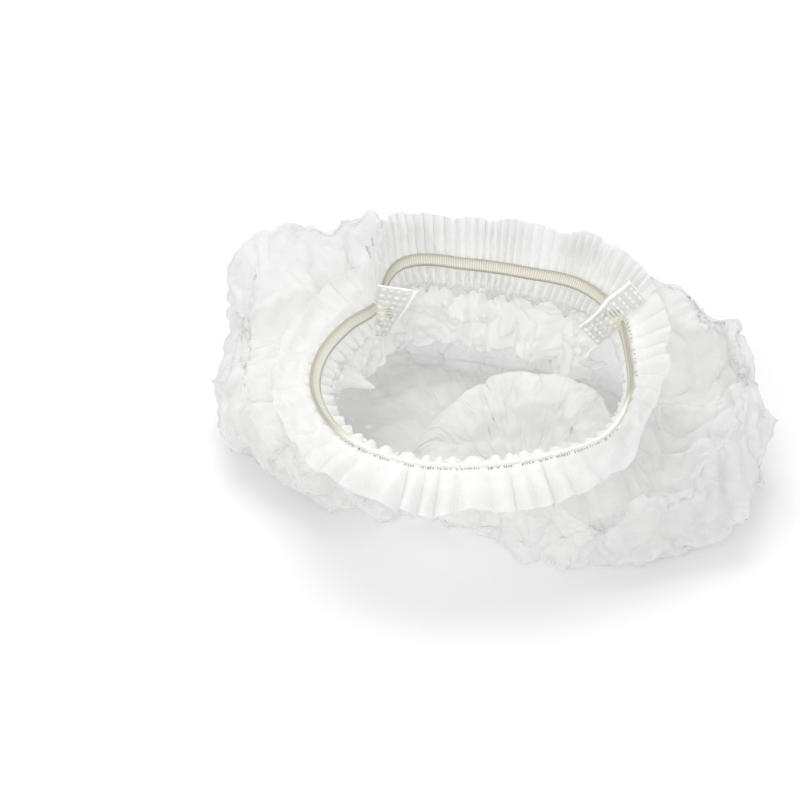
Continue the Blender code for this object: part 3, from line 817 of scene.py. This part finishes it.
def make_bag():
    """The bag: gathered at the lip, crumpled below it, and lying on the floor."""
    angles = np.arange(BAG_COLUMNS) * 360 / BAG_COLUMNS
    wall = to_space(angles, section_rows(bag_knots(angles), BAG_WALL_STEPS))
    rows = wall.shape[1]
    normals = grid_normals(wall, closed=True)
    if normals[0, rows // 2] @ (wall[0, rows // 2] - np.array(MIDDLE)) < 0:
        normals = -normals
    fall = np.zeros(wall.shape[:2])
    fall[:, 1:] = np.cumsum(np.linalg.norm(np.diff(wall, axis=1), axis=-1), axis=1)
    turn = np.radians(angles)[:, None] + 0 * fall
    flat = np.stack([np.cos(turn) * mean_reach(), np.sin(turn) * mean_reach(), fall * 0.35], -1)
    push = np.zeros(wall.shape[:2])
    for gather in GATHERS:
        count = round(2 * math.pi * mean_reach() / gather.pitch)
        phase = turn / (2 * math.pi) * count + 0.30 * noise(flat, gather.pitch * 3, gather.seed)
        rise = ease((fall - gather.begin) / 0.010)
        fade = 1 - ease((fall - gather.finish * 0.45) / (gather.finish * 0.55))
        push += gather.depth * hills(phase) * rise * fade
    loose = ease(fall / 0.018) * ease((fall[:, -1:] - fall) / 0.02)
    push -= (BAG_CRUMPLE * creases(wall, 0.050, 31, 2) + OUTWARD_BIAS) * loose
    along = np.linspace(0, 1, rows)[None, :]
    for dent in DENTS:
        away = np.abs(np.mod(angles[:, None] - dent.angle + 180, 360) - 180) / dent.width
        up = (along - dent.along) / dent.spread
        push += dent.depth * BAG_BILLOW * np.exp(-(away**2) - up**2) * ease((1 - along) / 0.2)
    wall = wall + normals * push[..., None]
    grid = np.concatenate([wall, bag_floor(wall[:, -1])], axis=1)
    grid[:, rows // 2 :, 2] = np.maximum(grid[:, rows // 2 :, 2], 0.0004)
    hold = np.full(grid.shape[:2], SLACK_HOLD)
    hold[:, :rows] = np.maximum(SLACK_HOLD, 1 - ease(fall / HELD_LENGTH))
    hold[:, :rows] = np.maximum(hold[:, :rows], FOOT_HOLD * ease((along - 0.72) / 0.28))
    crest = np.linspace(0, 2.0, BAG_FLOOR_ROWS + 1)[1:]
    held = np.maximum(0.45 * np.exp(-(((crest - 1.0) / 0.09) ** 2)), FOOT_HOLD * (1 - ease(crest / 0.5)))
    hold[:, rows:] = np.maximum(SLACK_HOLD, held)
    grid = settle(grid, hold)
    fine = smooth_finer(grid)
    loose = ease((fine[..., 2] - 0.002) / 0.01)[..., None]
    wrinkle = BAG_WRINKLE * creases(fine, 0.014, 91, 2)[..., None] * loose
    fine = fine - grid_normals(fine, closed=True) * wrinkle
    fine = fine + grid_normals(fine, closed=True) * rucks(fine.shape, rows * 2)[..., None]
    bag = grid_mesh("bag", fine, closed=True, plug=True)
    mark_layers(bag, bag_layers(fine, rows * 2))
    return bag


def rucks(shape, wall_rows):
    """The height of the small pleats on the bag's shoulder."""
    angles = np.arange(shape[0])[:, None] * 360 / shape[0]
    along = np.arange(shape[1])[None, :] / wall_rows
    height = np.zeros(shape[:2])
    for row in RUCKS:
        place = np.mod(angles - row.start, 360)
        span = row.end - row.start
        inside = ease(place / 5) * ease((span - place) / 5) * (place < span)
        spread = np.exp(-(((along - row.along) / row.spread) ** 2))
        height += row.depth * hills(place / row.pitch) * inside * spread
    return height


def bag_layers(fine, wall_rows):
    """How dense the bag's cloth is: gathered below the lip, and in layers where the table says."""
    angles = np.arange(fine.shape[0]) * 360 / fine.shape[0]
    fall = np.zeros(fine.shape[:2])
    fall[:, 1:] = np.cumsum(np.linalg.norm(np.diff(fine, axis=1), axis=-1), axis=1)
    dense = 0.75 * np.exp(-fall / 0.012) * periodic(PLEATS, "layers", angles)[:, None]
    for layer in LAYERS:
        away = np.abs(np.mod(angles - layer.angle + 180, 360) - 180) / layer.width
        fade = 1 - ease((fall - layer.reach * 0.6) / (layer.reach * 0.8))
        dense = np.maximum(dense, layer.dense * np.exp(-(away**2))[:, None] * fade)
    dense[:, wall_rows:] = np.maximum(dense[:, wall_rows:], FLOOR_DENSE)
    cloud = 0.16 * noise(fine, 0.035, 95) + 0.10 * noise(fine, 0.012, 96)
    return dense + np.maximum(0, cloud) * (0.5 + dense)


def settle(grid, hold):
    """Lets the cloth buckle by a simulation in which it has more length than it has room for."""
    cloth = grid_mesh("settling_cloth", grid, closed=True)
    group = cloth.vertex_groups.new(name="held")
    for level in range(51):
        low, high = level / 50 - 0.01, level / 50 + 0.01
        chosen = np.flatnonzero((hold.reshape(-1) >= low) & (hold.reshape(-1) < high))
        group.add(chosen.tolist(), level / 50, "REPLACE")
    ground_mesh = bpy.data.meshes.new("settling_ground")
    corners = [(x, y, SETTLE_GROUND) for x, y in ((-1, -1), (1, -1), (1, 1), (-1, 1))]
    ground_mesh.from_pydata(corners, [], [(0, 1, 2, 3)])
    ground = bpy.data.objects.new("settling_ground", ground_mesh)
    bpy.context.collection.objects.link(ground)
    ground.modifiers.new("ground", "COLLISION")
    ground.collision.thickness_outer = 0.001
    modifier = cloth.modifiers.new("settle", "CLOTH")
    values = modifier.settings
    values.quality = 6
    values.mass = 0.02
    values.air_damping = 3.0
    values.tension_stiffness = 12
    values.compression_stiffness = 12
    values.shear_stiffness = 4
    values.bending_stiffness = 0.02
    values.shrink_min = -SLACK
    values.shrink_max = -SLACK
    values.vertex_group_mass = "held"
    values.pin_stiffness = 1.0
    values.effector_weights.gravity = 0.15
    modifier.collision_settings.distance_min = 0.001
    modifier.collision_settings.use_self_collision = False
    modifier.point_cache.frame_end = SETTLE_FRAMES
    scene = bpy.context.scene
    for frame_number in range(1, SETTLE_FRAMES + 1):
        scene.frame_set(frame_number)
    settled = cloth.evaluated_get(bpy.context.evaluated_depsgraph_get())
    places = np.array([vertex.co[:] for vertex in settled.data.vertices]).reshape(grid.shape)
    scene.frame_set(1)
    for used in (cloth, ground):
        bpy.data.objects.remove(used)
    step = places - grid
    length = np.linalg.norm(step, axis=-1, keepdims=True)
    step *= np.minimum(1, SETTLE_LIMIT / np.maximum(length, 1e-9))
    moved = grid + step
    moved[..., 2] = np.maximum(moved[..., 2], 0.0003)
    return moved


def smooth_finer(grid):
    """Twice as many rows and columns, on smooth curves through the points of a closed grid."""
    for axis in (0, 1):
        if axis == 0:
            p0, p1, p2, p3 = (np.roll(grid, -k, axis=0) for k in (-1, 0, 1, 2))
            middle = curve_between(p0, p1, p2, p3, 0.5)
            grid = np.stack([grid, middle], axis=1).reshape(-1, *grid.shape[1:])
        else:
            padded = np.concatenate([grid[:, :1], grid, grid[:, -1:]], axis=1)
            p0, p1, p2, p3 = padded[:, :-3], padded[:, 1:-2], padded[:, 2:-1], padded[:, 3:]
            middle = curve_between(p0, p1, p2, p3, 0.5)
            woven = np.stack([grid[:, :-1], middle], axis=2)
            woven = woven.reshape(grid.shape[0], -1, 3)
            grid = np.concatenate([woven, grid[:, -1:]], axis=1)
    return grid


def bag_floor(foot):
    """The bottom cloth from the foot's edge inward, lifted into the leaf-shaped fold."""
    middle = np.array([
        LEAF_MIDDLE[0] * OPENING_WIDTH / 2 + MIDDLE.x,
        LEAF_MIDDLE[1] * OPENING_DEPTH / 2 + MIDDLE.y,
    ])
    away = foot[:, :2] - middle
    turn = np.arctan2(away[:, 1], away[:, 0])
    ring = np.stack([np.cos(turn), np.sin(turn)], -1)
    leaf = middle + ring * LEAF_RADIUS
    inner = middle + ring * 0.0015
    height = LEAF_HEIGHT * np.maximum(0, periodic(LEAF, "rise", np.degrees(turn)))
    knots = np.array([[row.inward, row.rise] for row in FLOOR])
    rows = []
    for step in np.linspace(0, 2.0, BAG_FLOOR_ROWS + 1)[1:]:
        rise = np.interp(step, knots[:, 0], knots[:, 1])
        if step <= 1:
            place = foot[:, :2] * (1 - step) + leaf * step
        else:
            place = leaf * (2 - step) + inner * (step - 1)
        rows.append(np.concatenate([place, (0.0006 + height * rise)[:, None]], axis=1))
    grid = np.stack(rows, axis=1)
    steps = np.linspace(0, 2.0, BAG_FLOOR_ROWS + 1)[1:]
    leaf_side = ease((steps - 0.98) / 0.1) * ease((1.75 - steps) / 0.4)
    lift = 0.0012 * (creases(grid * [1, 1, 0.5], 0.050, 51, 2) + 0.4)
    around = (turn * LEAF_RADIUS)[:, None] + 0 * grid[..., 0]
    rays = 0.5 + 0.5 * np.sin(around / 0.0075 + 2.2 * noise(grid, 0.05, 53))
    lift += 0.0014 * rays**2 * leaf_side[None, :]
    fade = ease(np.linspace(0, 2, BAG_FLOOR_ROWS) / 0.25)[None, :]
    grid[..., 2] = np.maximum(grid[..., 2] + lift * fade, 0.0004)
    return grid


def make_elastic(name, start, end):
    """The flat elastic: two raised edge cords and a ribbed middle."""
    steps = round(math.radians(end - start) * mean_reach() / 0.0012)
    angles = np.linspace(start, end, steps + 1)
    rim, _, elastic_way, _ = rim_lines(angles)
    side = inner_side(elastic_way)
    around = np.arange(steps + 1)
    grid = []
    for share, thick in TAPE_PROFILE + [(share, -0.0002) for share, thick in reversed(TAPE_PROFILE)]:
        ribbed = 0.25 < share < 0.75 and thick > 0
        lift = TAPE_LIFT + thick + TAPE_RIB_HEIGHT * np.cos(around * math.pi) * ribbed
        grid.append(rim - elastic_way * ELASTIC_WIDTH * share + side * lift[:, None])
    grid.append(grid[0])
    tape = grid_mesh(name, to_space(angles, np.stack(grid, axis=1)), closed=False)
    front = ease((angles - 218) / 14) * ease((340 - angles) / 14)
    mark_layers(tape, np.repeat(front[:, None], len(grid), axis=1))
    return tape


def make_seal(tab):
    """A welded end tab: a pressed plate with rows of small dashes and a swollen free edge."""
    angle = np.array([tab.angle])
    rim = rim_lines(angle)[0]
    radial = to_space_way(angle, np.array([[1.0, 0.0]]))[0]
    upright = np.array([0.0, 0.0, 1.0])
    lean = math.radians(tab.lean)
    width_way = radial * math.sin(lean) + upright * math.cos(lean)
    inward = -radial * math.cos(lean) + upright * math.sin(lean)
    face = np.cross(inward, width_way)
    turn = math.radians(tab.turn)
    length_way = inward * math.cos(turn) + face * math.sin(turn)
    face_way = np.cross(length_way, width_way)
    root = to_space(angle, rim)[0] + inward * (0.00085 + SEAL_THICKNESS / 2 * abs(math.sin(turn)))
    root = root + width_way * SEAL_WIDTH * tab.shift - upright * tab.drop
    across = np.linspace(-0.5, 0.5, 181)[:, None]
    out = np.linspace(0, 1, 79)[None, :]
    column, row = (across + 0.5) * DASH_COLUMNS, out * DASH_ROWS - 0.35
    dash = np.clip(1.4 - np.hypot((column % 1 - 0.5) / 0.18, (row % 1 - 0.5) / 0.34), 0, 1) ** 0.7
    dash = dash * (row > 0) * (row < 4)
    rim_swell = np.exp(-(((out - 0.94) / 0.035) ** 2))
    edge = ease((0.5 - np.abs(across)) / 0.03) ** 0.5 * ease((1 - out) / 0.02) ** 0.5
    points = np.stack(np.broadcast_arrays(across * 30, out * 13, out * 0), -1).astype(float)
    wobble = 0.00018 * noise(points, 3.0, tab.seed)
    half = (SEAL_THICKNESS / 2 * (0.72 + 0.55 * rim_swell) - 0.00042 * dash + wobble) * edge
    bend = 0.0009 * np.sin(across * math.pi * 1.4 + 0.6) * out
    bend = bend + 0.0005 * noise(points, 14.0, tab.seed + 1) * out
    reach = tab.length * out * (1 + tab.slant * 2 * across)
    base = root + width_way * (SEAL_WIDTH * across)[..., None]
    base = base + length_way * reach[..., None] + face_way * bend[..., None]
    front = base + face_way * half[..., None]
    back = base - face_way * half[..., None]
    sheet = np.concatenate([front, back[:, ::-1]], axis=1)
    sheet = np.concatenate([sheet, sheet[:, :1]], axis=1)
    tint = np.array(WELD_PRESSED) + (np.array(WELD_DASH) - WELD_PRESSED) * dash[..., None]
    swollen = np.clip(rim_swell + (1 - edge), 0, 1)[..., None]
    tint = tint + (np.array(WELD_RIM) - tint) * swollen
    for spot in MELTED:
        away = np.hypot((across - spot.across) / spot.wide, (out - spot.out) / spot.long)
        burnt = np.clip(1.4 - away, 0, 1)[..., None] * spot.dark
        tint = tint + (np.array(WELD_BURNT) - tint) * burnt
    yellow = np.exp(-((across / 0.20) ** 2) - ((out - 0.1) / 0.35) ** 2)[..., None] * 0.7
    tint = tint + (np.array(WELD_YELLOW) - tint) * yellow
    tint = np.concatenate([tint, tint[:, ::-1], tint[:, :1]], axis=1)
    seal = grid_mesh(tab.name, sheet, closed=False)
    colours = seal.data.color_attributes.new("tint", "FLOAT_COLOR", "POINT")
    values = np.concatenate([np.clip(tint, 0, 1), np.ones(tint.shape[:2] + (1,))], axis=-1)
    colours.data.foreach_set("color", values.reshape(-1).astype(np.float32))
    return seal


def make_stage():
    """A pale floor."""
    mesh = bpy.data.meshes.new("floor")
    corners = [(x * FLOOR_HALF, y * FLOOR_HALF, 0) for x, y in ((-1, -1), (1, -1), (1, 1), (-1, 1))]
    mesh.from_pydata(corners, [], [(0, 1, 2, 3)])
    floor = bpy.data.objects.new("floor", mesh)
    bpy.context.collection.objects.link(floor)
    floor.data.materials.append(plain_material("pale_floor", FLOOR_COLOUR, 0.9))


def make_light(box):
    data = bpy.data.lights.new(box.name, "AREA")
    data.shape = "DISK"
    data.size = box.size
    data.energy = box.power
    data.color = box.colour
    lamp = bpy.data.objects.new(box.name, data)
    bpy.context.collection.objects.link(lamp)
    lamp.location = box.place
    lamp.rotation_euler = (Vector(LIGHT_AIM) - Vector(box.place)).to_track_quat("-Z", "Y").to_euler()


def make_camera():
    """The photograph's view: from the front, well above the floor, with a long lens."""
    elevation = math.radians(CAMERA_ELEVATION)
    aim = MIDDLE + CAMERA_AIM
    data = bpy.data.cameras.new("camera")
    data.sensor_width = 36
    data.lens = CAMERA_LENS
    data.clip_start = 0.01
    camera = bpy.data.objects.new("camera", data)
    bpy.context.collection.objects.link(camera)
    back = Vector((0, -math.cos(elevation), math.sin(elevation)))
    camera.location = aim + back * CAMERA_DISTANCE
    camera.rotation_euler = (math.pi / 2 - elevation, 0, 0)
    bpy.context.scene.camera = camera


def make_world():
    world = bpy.data.worlds.new("studio")
    world.use_nodes = True
    sky = world.node_tree.nodes["Background"]
    sky.inputs["Color"].default_value = (*SKY_COLOUR, 1)
    sky.inputs["Strength"].default_value = SKY_STRENGTH
    bpy.context.scene.world = world
    bpy.context.scene.view_settings.view_transform = "Standard"
    bpy.context.scene.view_settings.look = "None"


def let_light_through():
    """Lets light pass through and between many layers of white cloth before it is given up."""
    paths = bpy.context.scene.cycles
    paths.max_bounces = 24
    paths.diffuse_bounces = 14
    paths.transmission_bounces = 18
    paths.transparent_max_bounces = 20


def main():
    cloth = cloth_material("nonwoven_cloth", THIN_CLOTH, THICK_CLOTH, 0.36, 0.05, 0.30, 0.52)
    # A whiter copy of the cloth for the inner folds, partly painted light
    lit_folded = cloth_material("folded_cloth_lit", THIN_FOLDED_LIT, THICK_FOLDED_LIT, 0.15, 0.02, 0.20, 0.36)
    tape = tape_material()
    weld = weld_material()
    thread = plain_material("dark_thread_and_shadow", THREAD_AND_SHADOW_COLOUR, 0.85)
    front = (LEFT_SEAL_ANGLE + 0.3, RIGHT_SEAL_ANGLE + 359.7)
    back = (RIGHT_SEAL_ANGLE + 0.3, LEFT_SEAL_ANGLE - 0.3)
    pleats_front = make_band("pleats_front", *front, **FRONT_BAND)
    pleats_back = make_band("pleats_back", *back, **BACK_BAND)
    dress(pleats_front, cloth, ["ruffle_front"])
    dress(pleats_back, cloth, ["ruffle_back"])
    bag = make_bag()
    dress(bag, cloth, ["crown"])
    for name, (start, end) in (("elastic_front", front), ("elastic_back", back)):
        dress(make_elastic(name + "_tape", start + 2, end - 2), tape, [name])
    for row in STITCHES:
        dress(make_stitches(*row), thread, [])
    for tab in SEALS:
        dress(make_seal(tab), weld, ["end_" + tab.name])
    for fold in INNER_FOLDS:
        piece = make_inner_fold(fold)
        dress(piece, lit_folded, [])
    make_stage()
    make_camera()
    make_world()
    let_light_through()
    for box in SOFTBOXES:
        make_light(box)


main()
